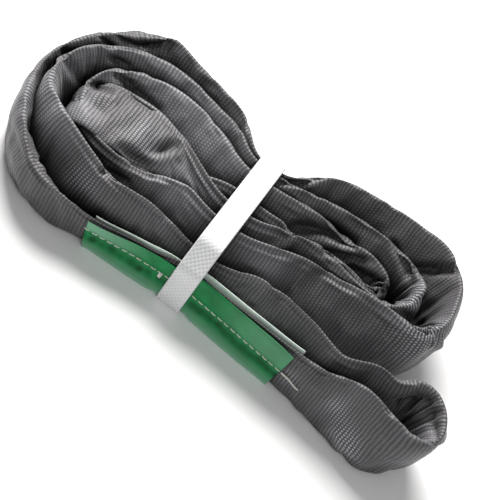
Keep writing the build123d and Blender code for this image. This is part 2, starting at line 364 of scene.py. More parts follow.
def apply_modifiers(piece):
    """Replaces the piece's mesh by its evaluated one."""
    graph = bpy.context.evaluated_depsgraph_get()
    mesh = bpy.data.meshes.new_from_object(piece.evaluated_get(graph))
    piece.modifiers.clear()
    piece.data = mesh
    mesh.polygons.foreach_set("use_smooth", np.ones(len(mesh.polygons), bool))


def vertex_points(piece):
    """The piece's vertices in millimetres."""
    points = np.zeros(len(piece.data.vertices) * 3)
    piece.data.vertices.foreach_get("co", points)
    return points.reshape(-1, 3) / MM


def paint(piece, name, values):
    """Stores one number per vertex for the material to read."""
    layer = piece.data.attributes.new(name, "FLOAT", "POINT")
    layer.data.foreach_set("value", np.asarray(values, np.float32))


def join(name, pieces):
    """One object from several meshes."""
    with bpy.context.temp_override(active_object=pieces[0], selected_editable_objects=pieces,
                                   selected_objects=pieces, object=pieces[0]):
        bpy.ops.object.join()
    pieces[0].name = name
    return pieces[0]


def hand_over(piece, body, node=None, material=None):
    """Gives a piece its material, hides the CAD node it stands for and attaches the piece to the body it
    rides on.
    """
    if material:
        piece.data.materials.append(material)
    if node:
        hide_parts(node)
    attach(piece, body)


# ---------------------------------------------------------------------------------------------
# The woven cover
# ---------------------------------------------------------------------------------------------


def section_profile(angles, crisp=1.0):
    """Section of the flat tube: height along the spine and half width across it.

    The crest goes from round to a creased fold as crisp goes from 0 to 1, and the foot is blunt."""
    rise = np.cos(angles)
    height = np.abs(rise)
    rounded = (1 - height ** 2.4) ** 0.55
    creased = (1 - height ** 1.7) ** 0.75
    blunt = (1 - height ** 3.0) ** 0.6
    crest = rounded + (creased - rounded) * crisp
    return rise, np.where(rise > 0, crest, blunt) * np.sign(np.sin(angles))


HALF_HEIGHT = 20.0
HALF_THICKNESS = 5.0
CREST_CROWDING, CREST_REACH = 1.3, 6.0     # extra density of vertices at the crest, and how far it goes


def columns(count):
    """Angles of the section's vertices, closer together near the crest, and their arc lengths."""
    dense = np.linspace(0, 2 * math.pi, 4001)
    rise, half = section_profile(dense)
    steps = np.hypot(np.diff(rise) * HALF_HEIGHT, np.diff(half) * HALF_THICKNESS)
    arc = np.concatenate([[0], np.cumsum(steps)])
    away = np.minimum(arc, arc[-1] - arc)
    weight = 1 + CREST_CROWDING * np.exp(-(away / CREST_REACH) ** 2)
    load = np.concatenate([[0], np.cumsum(steps * (weight[1:] + weight[:-1]) / 2)])
    places = np.linspace(0, load[-1], count, endpoint=False)
    return np.interp(places, load, dense), np.interp(places, load, arc), arc[-1]


COLUMN_ANGLE, COLUMN_ARC, ROUND_LENGTH = columns(ROUND_COUNT)


def grid_normals(grid):
    """Outward normals of a closed tube grid indexed by place along the loop and place round it."""
    down = np.roll(grid, -1, 0) - np.roll(grid, 1, 0)
    across = np.roll(grid, -1, 1) - np.roll(grid, 1, 1)
    return unit(np.cross(across, down))


def wave_field(random, place, angle, length, waves, lengths, around):
    """Sum of random waves that close on themselves both along the loop and round the tube."""
    field = np.zeros((len(place), len(angle)))
    for _ in range(waves):
        turns = round(length / random.uniform(*lengths))
        folds = random.integers(around[0], around[1] + 1)
        phase = random.uniform(0, 2 * math.pi)
        field += np.sin(2 * math.pi * turns * place[:, None] / length + folds * angle[None] + phase)
    return field / math.sqrt(waves / 2)


# Folds pressed into the upper side of the cloth: from, to, half width, depth. Each end is given
# along the bundle and by its distance to the far side plus its height. A negative depth stands out.
FOLDS = [
    ((-97.0, 47.0), (-85.0, 51.6), 2.2, 2.8),
    ((-80.9, 47.8), (-92.2, 41.8), 2.6, -1.4),
    ((-48.5, 37.4), (-44.1, 48.6), 3.4, 6.0),
    ((-38.8, 42.5), (-42.4, 53.3), 2.0, -1.5),
    ((-62.0, 23.8), (-48.0, 24.7), 3.0, 3.5),
    ((-95.2, 90.6), (-82.7, 102.3), 5.0, 7.0),
    ((-82.8, 110.2), (-78.6, 110.2), 3.5, -1.2),
    ((-115.2, 54.1), (-101.5, 43.7), 2.6, 2.4),
    ((-87.7, 64.8), (-64.1, 61.1), 3.2, 4.0),
    ((-63.4, 4.8), (-52.7, 8.1), 1.6, 3.0),
    ((-95.1, 70.9), (-88.3, 73.7), 1.8, 3.0),
    ((-106.7, 79.1), (-97.4, 77.2), 1.6, 1.8),
    ((-114.5, -8.1), (-99.3, -21.3), 3.0, 2.2),
    ((-88.7, 35.2), (-80.9, 36.1), 3.0, 1.8),
    ((8.7, 71.8), (18.4, 82.0), 1.4, 2.6),
    ((18.4, 82.0), (24.2, 93.5), 1.4, 2.6),
    ((29.2, 55.4), (41.8, 64.1), 3.6, 5.0),
    ((41.8, 64.1), (55.1, 67.5), 3.2, 5.0),
    ((48.5, 51.4), (64.4, 62.1), 2.0, 4.0),
    ((64.7, 53.3), (83.3, 54.7), 3.0, 3.5),
    ((74.1, 84.5), (89.9, 70.7), 2.4, 3.0),
    ((87.5, 77.3), (107.0, 99.4), 2.6, 4.5),
    ((96.9, 49.2), (115.0, 51.6), 3.2, 3.0),
    ((93.3, 68.3), (104.7, 71.2), 4.0, -1.5),
    ((61.9, 26.0), (78.1, 27.9), 4.5, 1.2),
    ((48.9, 79.2), (65.1, 81.1), 2.2, 1.6),
    ((117.0, -10.0), (128.0, 9.0), 3.0, 4.5),
    ((133.0, 7.0), (143.0, -9.0), 2.2, 2.0),
]
OPEN_SIDE = np.array([0.0, -0.6, 0.8])
FOLD_FLOOR = 10.0
FOLD_SHARE = 0.95      # how much of a fold the hidden face of the tube follows
LABEL_CENTRE = 5.5       # the label's middle along the bundle
ON_PASS_ONE = -38        # only the labelled pass lies beyond this y
STRAP_CLEAR = (10.5, 15.0)   # beside the strap the hidden face begins to follow the folds, then does


def press_folds(grid):
    """Moves the cloth in or out along each fold."""
    out = grid_normals(grid)
    seen = np.clip((out @ OPEN_SIDE) * 2.0, 0, 1) * np.clip((grid[..., 2] - FOLD_FLOOR) / 8, 0, 1)
    flat = np.stack([grid[..., 0], (grid[..., 1] + grid[..., 2]) * math.sqrt(0.5)], -1)
    move = np.zeros(grid.shape[:2])
    opposite = -np.arange(grid.shape[1]) % grid.shape[1]
    for start, end, width, depth in FOLDS:
        start, end = (np.array([x, level * math.sqrt(0.5)]) for x, level in (start, end))
        span = end - start
        share = np.clip((flat - start) @ span / (span @ span), 0, 1)
        away = np.linalg.norm(flat - (start + share[..., None] * span), axis=-1)
        ends = 0.6 + 0.4 * np.sin(math.pi * share)
        move -= depth * ends * seen * np.exp(-(away / width) ** 2)
    push = out * move[..., None]
    follow = FOLD_SHARE * ease(np.abs(grid[..., :1]), *STRAP_CLEAR)
    return grid + push + follow * push[:, opposite]


def fades_past(distance, soft):
    """1 well below zero distance, 0 well above it."""
    return 1 / (1 + np.exp(distance / soft))


def freedom_of(course):
    """How far the cloth may wrinkle: hardly at all under the strap and the label."""
    x, y = course.middle[:, 0], course.middle[:, 1]
    strapped = np.exp(-(x / 19.0) ** 6)
    labelled = fades_past(np.abs(x - LABEL_CENTRE) - 64, 2.5) * (y < -37)
    return np.clip(1 - 0.92 * strapped - 0.75 * smooth_round(labelled, 4), 0.08, 1)[:, None]


def crispness(course):
    """How sharply the crest is creased: on the passes near the label, less round the lobes."""
    x, y = course.middle[:, 0], course.middle[:, 1]
    near = fades_past(y - 6, 4) * fades_past(np.abs(x) - 88, 5)
    return 0.08 + 0.92 * smooth_round(near, 8)


BILLOW, RIPPLE, GATHER = 0.6, 0.25, 0.7     # heights of the long, short and gathered waves
BEND_GATHERS = 14.0                         # a bend of one over this radius is fully gathered
# Ridge, groove and second ridge sewn along the crest: height, arc from the crest, half width.
CREST_RIDGES = ((0.5, 0.0, 1.0), (-0.5, 2.6, 0.9), (0.3, 4.6, 1.1))


def sleeve_grid(course):
    """Points of the woven cover, place along the loop by place round it."""
    random = np.random.default_rng(SEED)
    crisp = crispness(course)[:, None]
    rise, half = section_profile(COLUMN_ANGLE[None], crisp)
    grid = (course.middle[:, None] + course.spine[:, None] * rise[..., None]
            + course.side[:, None] * (course.thick[:, None] / 2 * half)[..., None])
    out = grid_normals(grid)
    freedom = freedom_of(course)
    waves = [wave_field(random, course.place, COLUMN_ANGLE, course.length, *kind)
             for kind in ((9, (26, 70), (-2, 2)), (12, (9, 20), (-3, 3)), (10, (5.5, 10), (-1, 1)))]
    inside = np.clip(course.bend[:, None] * half * BEND_GATHERS, 0, 1)
    faces = np.clip(np.abs(half), 0, 1)
    lift = freedom * faces * (BILLOW * waves[0] + RIPPLE * waves[1]) + freedom * GATHER * inside * waves[2]
    arc = np.minimum(COLUMN_ARC, ROUND_LENGTH - COLUMN_ARC)[None]
    ridge = sum(height * np.exp(-((arc - middle) / width) ** 2) for height, middle, width in CREST_RIDGES)
    grid = grid + out * (lift + ridge * crisp)[:, :, None]
    return soften_floor(press_folds(grid), course)


FLOOR_LOW = 0.25         # the cloth's underside on the resting plane
FLOOR_LOW_LABEL = 0.95   # on the vinyl's fold
FLOOR_LOW_STRAP = 1.45   # on the strap and its welded lap
FLOOR_SOFT = 3.0


def soften_floor(grid, course):
    """Presses what hangs low flat: on the resting plane, on the label's fold or on the strap."""
    x, y = course.middle[:, 0], course.middle[:, 1]
    on_strap = 1 - ease(np.abs(x), 8.5, 14.0)
    on_label = (y < ON_PASS_ONE) * (1 - ease(np.abs(x - LABEL_CENTRE), 62.0, 66.0))
    low = FLOOR_LOW + (FLOOR_LOW_LABEL - FLOOR_LOW) * smooth_round(on_label, 2.0)
    low = (low + (FLOOR_LOW_STRAP - low) * on_strap)[:, None]
    z = grid[..., 2]
    pressed = low + (FLOOR_SOFT - low) * np.exp((z - FLOOR_SOFT) / (FLOOR_SOFT - low))
    grid[..., 2] = np.where(z < FLOOR_SOFT, pressed, z)
    return grid


CLOTH_ROWS, CLOTH_COLS = 900, 40
CLOTH_FRAMES = 14
CLOTH_CAP = 2.6
CLOTH_SETTINGS = dict(
    quality=5, mass=0.3, tension_stiffness=15, compression_stiffness=15, shear_stiffness=5,
    bending_stiffness=0.25, vertex_group_mass="held", pin_stiffness=1.0, shrink_min=-0.05,
    use_pressure=True, uniform_pressure_force=1.5,
)


def crumple(grid, freedom):
    """Cloth simulation on a coarser copy: slightly too much cloth, swelled by light pressure.

    The copy's movement, capped, is laid over the fine grid."""
    rows = np.arange(CLOTH_ROWS) * grid.shape[0] // CLOTH_ROWS
    cols = np.arange(CLOTH_COLS) * grid.shape[1] // CLOTH_COLS
    coarse = grid[rows][:, cols]
    piece = tube_mesh("crumple_copy", coarse, np.arange(CLOTH_ROWS) * 1.0,
                      np.arange(CLOTH_COLS) * 1.0, CLOTH_COLS)
    held = piece.vertex_groups.new(name="held")
    hold = np.clip(1.05 - np.broadcast_to(freedom[rows], (CLOTH_ROWS, CLOTH_COLS)), 0.04, 1.0).ravel()
    low = coarse[..., 2].ravel() < 2.0
    hold[low] = np.maximum(hold[low], 0.6)
    for level in np.unique(np.round(hold, 2)):
        held.add(np.nonzero(np.round(hold, 2) == level)[0].tolist(), float(level), "REPLACE")
    cloth = piece.modifiers.new("cloth", "CLOTH")
    for name, value in CLOTH_SETTINGS.items():
        setattr(cloth.settings, name, value)
    cloth.settings.effector_weights.gravity = 0
    cloth.collision_settings.use_collision = False
    scene = bpy.context.scene
    for frame_number in range(1, CLOTH_FRAMES + 1):
        scene.frame_set(frame_number)
    apply_modifiers(piece)
    move = vertex_points(piece).reshape(CLOTH_ROWS, CLOTH_COLS, 3) - coarse
    move = smooth_round(move, 0.6)
    size = np.linalg.norm(move, axis=-1, keepdims=True)
    move *= CLOTH_CAP * np.tanh(size / CLOTH_CAP) / np.maximum(size, 1e-6)
    scene.frame_set(1)
    bpy.data.objects.remove(piece)
    return grid + spread(move, grid.shape[0], grid.shape[1]) * np.clip(freedom, 0, 1)[..., None]


def spread(field, rows, cols):
    """A closed coarse field laid over a finer grid."""
    def stretch(values, count):
        closed = np.concatenate([values, values[:1]])
        places = np.arange(count) * len(values) / count
        index = places.astype(int)
        share = (places - index).reshape(-1, *[1] * (values.ndim - 1))
        return closed[index] * (1 - share) + closed[index + 1] * share

    along = smooth_round(stretch(field, rows), rows / len(field) * 0.5)
    return stretch(along.swapaxes(0, 1), cols).swapaxes(0, 1)


# ---------------------------------------------------------------------------------------------
# Materials
# ---------------------------------------------------------------------------------------------


class Nodes:
    """Small helper that builds a material's node tree by calls."""

    def __init__(self, name):
        self.material = bpy.data.materials.new(name)
        self.material.use_nodes = True
        self.tree = self.material.node_tree
        self.shader = self.tree.nodes["Principled BSDF"]
        self.place = self.add("ShaderNodeTexCoord").outputs["Object"]

    def add(self, kind, **settings):
        node = self.tree.nodes.new(kind)
        for key, value in settings.items():
            setattr(node, key, value)
        return node

    def feed(self, slot, value):
        """Sets a slot to a number or a colour, or links another node's output to it."""
        if isinstance(value, (int, float)):
            slot.default_value = value
        elif isinstance(value, tuple):
            slot.default_value = (*value, 1.0)
        else:
            self.tree.links.new(value, slot)

    def fill(self, slots, values):
        for slot, value in zip(slots, values):
            self.feed(slot, value)

    def set(self, name, value):
        self.feed(self.shader.inputs[name], value)

    def attribute(self, name):
        return self.add("ShaderNodeAttribute", attribute_name=name).outputs["Fac"]

    def math(self, operation, *values):
        node = self.add("ShaderNodeMath", operation=operation)
        self.fill(node.inputs, values)
        return node.outputs[0]

    def times(self, a, b):
        return self.math("MULTIPLY", a, b)

    def plus(self, a, b):
        return self.math("ADD", a, b)

    def minus(self, a, b):
        return self.math("SUBTRACT", a, b)

    def stripes(self, along):
        """Rounded ridges, one for each unit."""
        return self.math("ABSOLUTE", self.math("SINE", self.times(along, math.pi)))

    def noise(self, scale, detail=3.0):
        node = self.add("ShaderNodeTexNoise")
        node.inputs["Scale"].default_value = scale
        node.inputs["Detail"].default_value = detail
        self.feed(node.inputs["Vector"], self.place)
        return node.outputs["Fac"]

    def wave(self, direction, scale, distortion):
        node = self.add("ShaderNodeTexWave", bands_direction=direction)
        node.inputs["Scale"].default_value = scale
        node.inputs["Distortion"].default_value = distortion
        self.feed(node.inputs["Vector"], self.place)
        return node.outputs["Fac"]

    def mix(self, share, a, b):
        node = self.add("ShaderNodeMix", data_type="RGBA")
        self.fill((node.inputs[0], node.inputs[6], node.inputs[7]), (share, a, b))
        return node.outputs[2]

    def remap(self, value, low, high, to_low=0.0, to_high=1.0):
        node = self.add("ShaderNodeMapRange", clamp=True)
        self.fill(node.inputs, (value, low, high, to_low, to_high))
        return node.outputs[0]

    def bump(self, height, strength, distance):
        node = self.add("ShaderNodeBump")
        node.inputs["Strength"].default_value = strength
        node.inputs["Distance"].default_value = distance
        self.feed(node.inputs["Height"], height)
        self.set("Normal", node.outputs[0])


RIB_PITCH = 1.85
DOT_PITCH = 1.45
RIB_WANDER = 1.1
DOTLESS_CREST = 0.75     # how far the crowns run together on the crest's fold
SHADE_REACH = 0.018      # metres round a point within which neighbours darken it with painted shade


def weave(nodes):
    """Relief of the weave, its crowns, and the arc from the crest."""
    split = nodes.add("ShaderNodeSeparateXYZ")
    nodes.feed(split.inputs[0], nodes.add("ShaderNodeUVMap", uv_map="cloth").outputs[0])
    along_cloth, round_cloth = split.outputs[0], split.outputs[1]
    wander = nodes.times(nodes.noise(170.0, 1.0), RIB_WANDER)
    along = nodes.math("DIVIDE", nodes.plus(along_cloth, wander), RIB_PITCH)
    shift = nodes.times(nodes.math("MODULO", nodes.math("FLOOR", along), 2.0), 0.5)
    across = nodes.plus(nodes.math("DIVIDE", round_cloth, DOT_PITCH), shift)
    rib, dot = nodes.stripes(along), nodes.stripes(across)
    arc = nodes.math("MINIMUM", round_cloth, nodes.minus(ROUND_LENGTH, round_cloth))
    on_crest = nodes.remap(arc, 2.5, 5.0, DOTLESS_CREST, 0.0)
    dot = nodes.plus(nodes.times(dot, nodes.minus(1.0, on_crest)), nodes.times(on_crest, DOTLESS_CREST))
    crown = nodes.math("POWER", nodes.times(rib, dot), 0.8)
    return nodes.plus(nodes.times(rib, 0.45), nodes.times(crown, 0.55)), crown, arc


def woven_cover_material():
    """Coarse plain weave: ribs across the tube, in staggered crowns, with a painted highlight as a paler line
    by the crest.

    The attributes say where light is painted paler, where shade is painted darker, where the crowns get
    painted highlights, and where the crest is creased. Hollows get painted shade from ambient occlusion."""
    nodes = Nodes("woven_cover")
    height, crown, arc = weave(nodes)
    broad, patch, fine = (nodes.noise(scale, 2.0) for scale in (26.0, 60.0, 900.0))
    glint, painted_light_and_shade, crisp = (nodes.attribute(name) for name in ("glint", "painted_light_and_shade", "crisp"))

    groove = nodes.mix(nodes.remap(broad, 0.35, 0.65), (0.029, 0.028, 0.029), (0.041, 0.04, 0.042))
    thread = nodes.mix(nodes.remap(broad, 0.35, 0.65), (0.066, 0.062, 0.065), (0.094, 0.09, 0.098))
    thread = nodes.mix(nodes.remap(fine, 0.3, 0.7, 0.0, 0.4), thread, (0.12, 0.116, 0.126))
    colour = nodes.mix(nodes.remap(height, 0.2, 0.8), groove, thread)
    open_dots = nodes.times(nodes.remap(crown, 0.55, 0.85), nodes.remap(patch, 0.42, 0.62, 0.05, 0.5))
    colour = nodes.mix(open_dots, colour, (0.15, 0.145, 0.16))
    # Painted light: threads painted paler where the light-and-shade spots are positive.
    paler = nodes.times(nodes.remap(painted_light_and_shade, 0.0, 1.0), nodes.remap(height, 0.1, 0.8, 0.3, 0.85))
    colour = nodes.mix(paler, colour, (0.26, 0.256, 0.275))
    # Painted highlight: crowns painted pale where the glint spots lie.
    colour = nodes.mix(nodes.times(nodes.remap(crown, 0.5, 0.8), glint), colour, (0.36, 0.36, 0.39))

    # Painted highlight: a paler line along the sewn crest where it is creased.
    from_seam = nodes.math("ABSOLUTE", nodes.minus(arc, 1.0))
    seam_highlight = nodes.minus(1.0, nodes.remap(from_seam, 0.2, 0.6))
    colour = nodes.mix(nodes.times(seam_highlight, nodes.times(crisp, 0.55)), colour, (0.15, 0.145, 0.15))

    # Painted shade: hollows and creases, found by ambient occlusion, and the negative light-and-shade spots
    # turn the colour near black; specular and sheen fade there too.
    shade = nodes.add("ShaderNodeAmbientOcclusion", samples=6)
    shade.inputs["Distance"].default_value = SHADE_REACH
    open_air = shade.outputs["AO"]
    dark = nodes.math("MAXIMUM", nodes.remap(open_air, 0.25, 0.75, 0.97, 0.0), nodes.times(painted_light_and_shade, -1.0))
    nodes.set("Base Color", nodes.mix(dark, colour, (0.006, 0.005, 0.005)))
    nodes.set("Roughness", nodes.remap(fine, 0.2, 0.8, 0.42, 0.62))
    nodes.set("Specular IOR Level", nodes.remap(open_air, 0.1, 0.5, 0.04, 0.5))
    nodes.set("Sheen Weight", nodes.remap(open_air, 0.1, 0.5, 0.0, 0.18))
    nodes.set("Sheen Roughness", 0.45)
    nodes.bump(height, 0.7, 0.00035)
    return nodes.material


def cloudy_material(name, scale, spread_of_noise, colours, roughness, relief):
    """One soft noise that varies colour, roughness and relief together."""
    nodes = Nodes(name)
    cloudy = nodes.noise(scale)
    nodes.set("Base Color", nodes.mix(nodes.remap(cloudy, *spread_of_noise), *colours))
    nodes.set("Roughness", nodes.remap(cloudy, *roughness))
    nodes.bump(cloudy, *relief)
    return nodes.material


def label_back_material():
    return cloudy_material("label_back", 90.0, (0.35, 0.65), ((0.55, 0.68, 0.6), (0.72, 0.82, 0.75)),
                           (0.3, 0.7, 0.35, 0.5), (0.2, 0.0003))


def yarn_material():
    return cloudy_material("core_yarn", 700.0, (0.0, 1.0), ((0.6, 0.58, 0.52), (0.85, 0.83, 0.77)),
                           (0.2, 0.8, 0.55, 0.75), (0.4, 0.0003))


def tape_material():
    return cloudy_material("tie_tape", 300.0, (0.0, 1.0), ((0.5, 0.44, 0.3), (0.66, 0.6, 0.44)),
                           (0.2, 0.8, 0.4, 0.55), (0.3, 0.0002))


def label_green_material():
    """Green vinyl; the attributes pale and shade say where it is paler, partly as a painted highlight along
    the fold, or darker with painted shade.
    """
    nodes = Nodes("label_green")
    blotch, fine = nodes.noise(110.0), nodes.noise(1400.0, 2.0)
    pale, shade = nodes.attribute("pale"), nodes.attribute("shade")
    green = nodes.mix(nodes.remap(blotch, 0.35, 0.65), (0.001, 0.145, 0.036), (0.004, 0.21, 0.058))
    dark = nodes.times(shade, nodes.remap(blotch, 0.35, 0.6, 0.35, 1.0))
    colour = nodes.mix(pale, green, (0.23, 0.47, 0.32))
    nodes.set("Base Color", nodes.mix(dark, colour, (0.0, 0.05, 0.013)))
    nodes.set("Roughness", nodes.remap(fine, 0.3, 0.7, 0.3, 0.42))
    nodes.set("Specular IOR Level", 0.22)
    nodes.bump(nodes.plus(blotch, nodes.times(fine, 0.08)), 0.3, 0.0004)
    return nodes.material


def thread_material():
    nodes = Nodes("sewing_thread")
    twist = nodes.wave("DIAGONAL", 900.0, 1.0)
    nodes.set("Base Color", nodes.mix(twist, (0.5, 0.52, 0.46), (0.84, 0.82, 0.78)))
    nodes.set("Roughness", nodes.remap(twist, 0.0, 1.0, 0.6, 0.8))
    nodes.bump(twist, 0.5, 0.0002)
    return nodes.material


def tucked_fabric_material():
    nodes = Nodes("tucked_fabric")
    threads = nodes.noise(800.0, 2.0)
    height = nodes.plus(nodes.wave("X", 170.0, 1.5), nodes.times(threads, 0.5))
    nodes.set("Base Color", nodes.mix(height, (0.02, 0.02, 0.021), (0.07, 0.068, 0.073)))
    nodes.set("Roughness", nodes.remap(threads, 0.2, 0.8, 0.5, 0.7))
    nodes.bump(height, 0.6, 0.0003)
    return nodes.material


def strap_material():
    """White plastic, with painted shade in the bottoms of the dimples."""
    nodes = Nodes("strapping_plastic")
    cloudy, fine = nodes.noise(60.0, 2.0), nodes.noise(1500.0, 2.0)
    plain = nodes.mix(nodes.remap(cloudy, 0.3, 0.7), (0.69, 0.7, 0.705), (0.76, 0.765, 0.77))
    nodes.set("Base Color", nodes.mix(nodes.attribute("dimple_shade"), plain, (0.55, 0.555, 0.56)))
    nodes.set("Roughness", nodes.remap(fine, 0.3, 0.7, 0.5, 0.62))
    nodes.set("Specular IOR Level", 0.12)
    nodes.bump(fine, 0.15, 0.0002)
    return nodes.material


# ---------------------------------------------------------------------------------------------
# Cover, core and the pieces inside
# ---------------------------------------------------------------------------------------------

# Painted highlights on the crowns of the threads, where the cloth is stretched open: x, y, z and reach.
GLINT_SPOTS = [
    (-58, 2, 40, 11), (-100, -14, 28, 12), (-104, -7, 33, 10), (-68, -34, 25, 9), (-116, -13, 24, 8),
    (-98, -37, 13, 8), (101, 24, 38, 12), (111, 8, 34, 12), (108, -58, 14, 8), (113, -58, 8, 7),
    (96, -52, 22, 6), (70, -50, 16, 4),
]
# Painted light and painted shade on the cloth: painted paler (positive) or painted dark as deep shade
# (negative): x, y, z, reach and amount.
PAINTED_LIGHT_AND_SHADE_SPOTS = [
    (-62, 38, 37, 14, 1.1), (-42, 34, 36, 14, 1.1), (-22, 27, 34, 13, 0.9), (-100, -12, 29, 16, 1.4),
    (-100, 18, 38, 12, 0.5), (-80, 48, 40, 12, 0.4), (-30, -12, 33, 16, 1.1), (20, -8, 34, 14, 0.4),
    (28, -17, 32, 11, 0.9), (100, -46, 34, 10, 0.3), (138, -42, 26, 12, 0.9), (-58, 2, 38, 22, -0.12),
    (-84, 58, 38, 7, -0.9), (104, -40, 24, 9, -0.6), (88, 18, 26, 10, -0.6), (104, 20, 26, 9, -0.5),
]


def spot_field(points, spots):
    """Sum of soft spots on the cloth, each with its own amount."""
    field = np.zeros(len(points))
    for x, y, z, reach, amount in spots:
        away = np.linalg.norm(points - np.array([x, y, z]), axis=1)
        field += amount * np.exp(-(away / reach) ** 2)
    return field


def build_cover(grid):
    piece = tube_mesh("sling_cover", grid, course.place, COLUMN_ARC, ROUND_LENGTH)
    points = grid.reshape(-1, 3)
    # Painted highlights on the crowns, and painted light and painted shade, stored per vertex for the
    # material.
    paint(piece, "glint", np.clip(spot_field(points, [(*spot, 1.0) for spot in GLINT_SPOTS]), 0, 1))
    paint(piece, "painted_light_and_shade", np.clip(spot_field(points, PAINTED_LIGHT_AND_SHADE_SPOTS), -1, 1))
    paint(piece, "crisp", np.repeat(np.clip(crispness(course) * 1.3 - 0.4, 0, 1), grid.shape[1]))
    hand_over(piece, "sling", "cover_sleeve", woven_cover_material())


CORE_TURNS = 6
CORE_RADIUS, CORE_LEAST_RADIUS = 1.1, 0.1
CORE_FIRST, CORE_STEP = 15, 3.4      # columns of the cover's grid that the turns follow
CORE_SMOOTHING = 1.2
CORE_GAP = 0.8


def build_core(grid):
    """The hank of yarn: turns side by side, midway between the two faces of the cover."""
    near = grid[::2, 1:ROUND_COUNT // 2]
    far = grid[::2, :ROUND_COUNT // 2:-1]
    middle = (near + far) / 2
    room = np.linalg.norm(near - far, axis=-1) / 2
    turns = []
    for number in range(CORE_TURNS):
        column = int(CORE_FIRST + number * CORE_STEP)
        path = smooth_round(middle[:, column], CORE_SMOOTHING)
        drift = np.linalg.norm(path - middle[:, column], axis=-1)
        free = smooth_round(room[:, column] - drift, CORE_SMOOTHING) - CORE_GAP
        radius = np.clip(free, CORE_LEAST_RADIUS, CORE_RADIUS)
        turns.append(round_tube(f"turn_{number}", path, radius, True))
    hand_over(join("core_yarn_hank", turns), "sling", "core_hank", yarn_material())


def pass_one_rows(start, end):
    """Rows of the course on the labelled pass between two places along the bundle, left to right."""
    x, y = course.middle[:, 0], course.middle[:, 1]
    rows = np.nonzero((y < ON_PASS_ONE) & (x >= start) & (x <= end))[0]
    return rows[np.argsort(course.middle[rows, 0])]


INNER_SIDES = 24
INNER_WALL = 0.25


def inner_tube(name, rows, tall, wide):
    """Short open-ended band inside the cover, at a share of its height and thickness."""
    rise, half = section_profile(np.linspace(0, 2 * math.pi, INNER_SIDES, endpoint=False))
    rise = rise * tall
    shells = []
    for grow in (0.0, INNER_WALL):
        reach = course.thick[rows, None] / 2 * wide + grow
        shells.append(course.middle[rows, None] + course.spine[rows, None] * rise[None, :, None]
                      + course.side[rows, None] * (reach * half[None])[:, :, None])
    count = len(rows)
    wall, shift = quads(count, INNER_SIDES, False, True), count * INNER_SIDES
    faces = [quad[::-1] for quad in wall] + [tuple(corner + shift for corner in quad) for quad in wall]
    for row, flip in ((0, False), (count - 1, True)):
        for k in range(INNER_SIDES):
            a, b = row * INNER_SIDES + k, row * INNER_SIDES + (k + 1) % INNER_SIDES
            rim = (a, b, b + shift, a + shift)
            faces.append(rim[::-1] if flip else rim)
    return add_piece(name, shells, faces)


def build_inside_pieces():
    tucked = inner_tube("cover_tucked_inside", pass_one_rows(-48, 26), 0.86, 0.72)
    hand_over(tucked, "sling", "cover_tucked_end", tucked_fabric_material())
    tape = inner_tube("core_tape", pass_one_rows(31, 48), 0.7, 0.66)
    hand_over(tape, "sling", "core_tie_tape", tape_material())


# ---------------------------------------------------------------------------------------------
# Label
# ---------------------------------------------------------------------------------------------

LABEL_LEFT, LABEL_RIGHT = -55.5, 65.0
FOOT_LEFT, FOOT_RIGHT = -51.0, 62.0      # the ends slope: this is where they are at the fold
LABEL_TOP = 27.0
LABEL_SKIN = 0.45
LABEL_AWAY = 0.35
LABEL_UNDER = 0.42    # height of the fold under the pass
STRAP_STEP = 0.5      # how much higher it lies where the strap runs below it
STITCH_HEIGHT = 15.8
HINGE_HEIGHT = 17.1
STRIP_TOP_LEFT, STRIP_TOP_MIDDLE, STRIP_TOP_RIGHT = 21.0, 24.4, 28.3
MIDDLE_STRIP_HALF = 5.5
FACE_STEP = 0.5


class Face:
    """Height map of the labelled pass: how far its near or far side reaches, at every x and z."""

    def __init__(self, grid, far):
        self.x = np.arange(-66, 84, FACE_STEP)
        self.z = np.arange(0, 30, FACE_STEP)
        rows = pass_one_rows(-70, 88)
        half = ROUND_COUNT // 2
        table = np.zeros((len(rows), len(self.z)))
        for index, row in enumerate(rows):
            section = grid[row]
            sides = section[:half + 1], np.vstack([section[:1], section[:half - 1:-1]])
            line = min(sides, key=lambda points: points[half // 2, 1] * (-1 if far else 1))
            order = np.argsort(line[:, 2])
            table[index] = np.interp(self.z, line[order, 2], line[order, 1])
        place = grid[rows].mean(1)[:, 0]
        order = np.argsort(place)
        reach = np.stack([np.interp(self.x, place[order], table[order, k]) for k in range(len(self.z))], 1)
        self.sign = 1.0 if far else -1.0
        reach = self.widest(reach * self.sign, 5)
        for axis, sigma in ((0, 5), (1, 3)):
            reach = self.soften(reach, axis, sigma)
        self.reach = reach * self.sign

    @staticmethod
    def widest(values, reach):
        """Each value replaced by the largest within reach."""
        padded = np.pad(values, reach, mode="edge")
        rows, cols = values.shape
        for axis in (0, 1):
            padded = np.max([np.roll(padded, shift, axis) for shift in range(-reach, reach + 1)], 0)
        return padded[reach:reach + rows, reach:reach + cols]

    @staticmethod
    def soften(values, axis, sigma):
        """Gaussian smoothing along one axis, with the edges held."""
        reach = 3 * sigma
        pads = [(0, 0), (0, 0)]
        pads[axis] = (reach, reach)
        padded = np.pad(values, pads, mode="edge")
        total = np.zeros_like(values)
        weights = np.exp(-0.5 * (np.arange(-reach, reach + 1) / sigma) ** 2)
        weights /= weights.sum()
        size = values.shape[axis]
        for start, weight in enumerate(weights):
            total += weight * np.take(padded, range(start, start + size), axis)
        return total

    def at(self, x, z, proud=0.0):
        """Point on the face, away from it by the vinyl's gap and the given amount."""
        i = np.clip((x - self.x[0]) / FACE_STEP, 0, len(self.x) - 1.001)
        k = np.clip((z - self.z[0]) / FACE_STEP, 0, len(self.z) - 1.001)
        i0, k0 = int(i), int(k)
        u, v = i - i0, k - k0
        y = (self.reach[i0, k0] * (1 - u) * (1 - v) + self.reach[i0 + 1, k0] * u * (1 - v)
             + self.reach[i0, k0 + 1] * (1 - u) * v + self.reach[i0 + 1, k0 + 1] * u * v)
        return np.array([x, y + self.sign * (LABEL_AWAY + proud), z])


